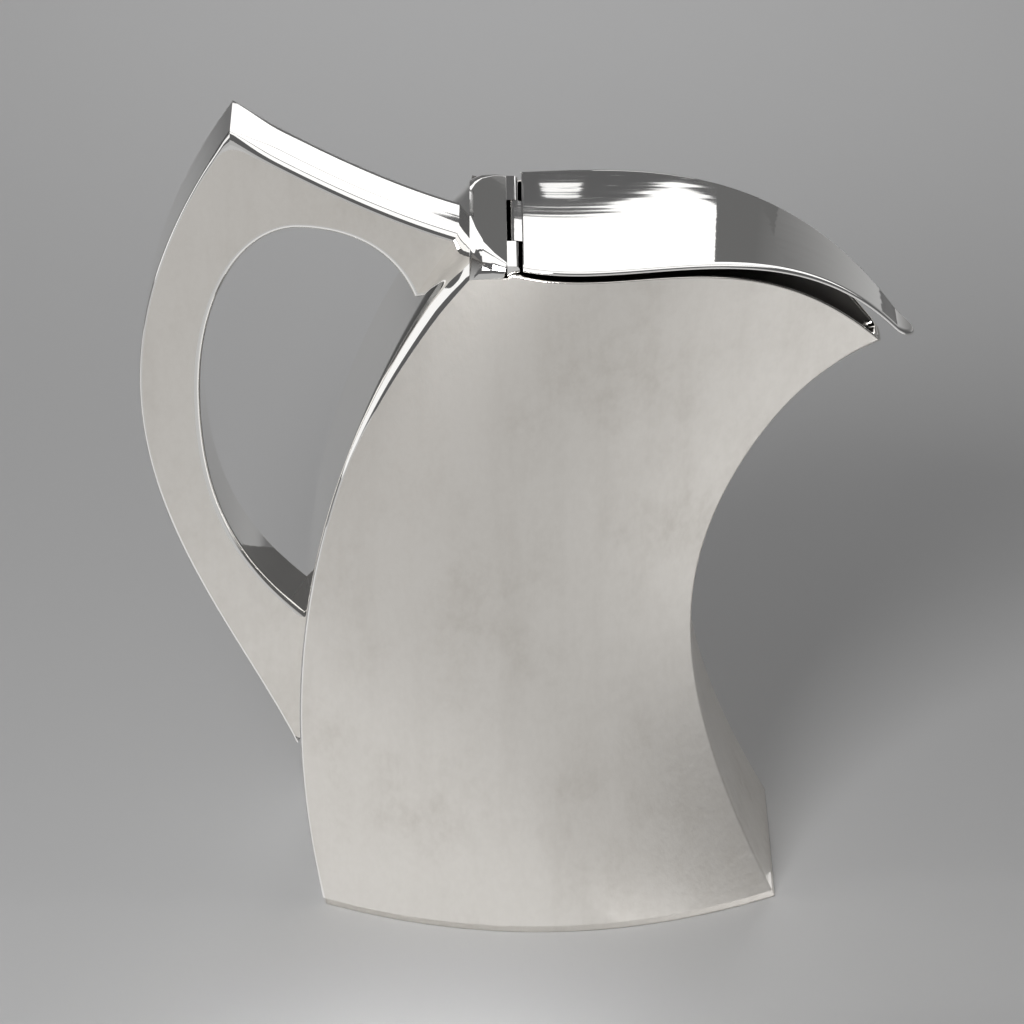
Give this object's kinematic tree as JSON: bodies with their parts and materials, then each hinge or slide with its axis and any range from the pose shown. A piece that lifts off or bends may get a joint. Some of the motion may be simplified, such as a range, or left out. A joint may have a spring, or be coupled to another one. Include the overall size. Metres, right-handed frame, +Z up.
{
  "type": "water pitcher",
  "caption": "Hinged-lid water pitcher in silver sheet: bowed sides, curved back, concave front running up into the spout, hollow box handle, curved lid.",
  "frame": {"origin": "centre of the base plate's resting face", "axes": "+X towards the spout, +Y to the pitcher's left, +Z up"},
  "size_m": [0.2223, 0.101, 0.24],
  "materials": {
    "satin_silver": "satin silver, softly toned",
    "polished_silver": "mirror polished silver"
  },
  "bodies": {
    "pitcher": {"side_panel_right": "satin_silver", "side_panel_left": "satin_silver", "rear_panel": "polished_silver", "front_panel": "satin_silver", "base_plate": "satin_silver", "rear_deck": "polished_silver", "hinge_knuckle_right": "polished_silver", "hinge_knuckle_left": "polished_silver", "hinge_pin": "polished_silver", "handle_cheek_right": "satin_silver", "handle_cheek_left": "satin_silver", "handle_outer_strap": "polished_silver", "handle_top_strap": "polished_silver", "handle_inner_strap": "polished_silver"},
    "lid": {"lid_plate": "polished_silver", "lid_edge_wire": "polished_silver", "lid_knuckle": "polished_silver"}
  },
  "joints": [
    {"name": "lid_hinge", "type": "hinge", "parent": "pitcher", "child": "lid", "pos_m": [-0.0104, 0, 0.2059], "axis": [0, -1, 0], "range_deg": [0, 95]}
  ]
}
